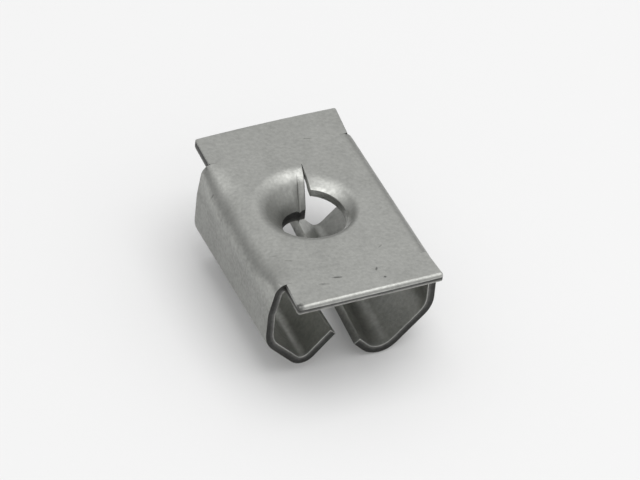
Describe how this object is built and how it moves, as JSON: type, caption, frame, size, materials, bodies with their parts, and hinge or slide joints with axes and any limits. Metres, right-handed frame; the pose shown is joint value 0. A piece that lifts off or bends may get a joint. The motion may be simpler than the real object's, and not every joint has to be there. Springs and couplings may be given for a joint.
{
  "type": "u clip speed nut",
  "caption": "Folded spring-steel speed nut: a plate with a one-turn thread form round its screw hole, over two bulging legs with sprung lips that snap into a panel hole.",
  "frame": {"origin": "on the screw hole's axis, in the plane of the plate's underside", "axes": "+Z out of the plate's top, along the screw's axis; +Y along the plate, towards the end that the thread's slit points to; X across the plate, over the two legs"},
  "size_m": [0.0117, 0.0165, 0.0076],
  "materials": {
    "spring_steel": "satin, finely mottled zinc finish"
  },
  "bodies": {
    "root": {"speed_nut": "spring_steel"}
  },
  "joints": []
}
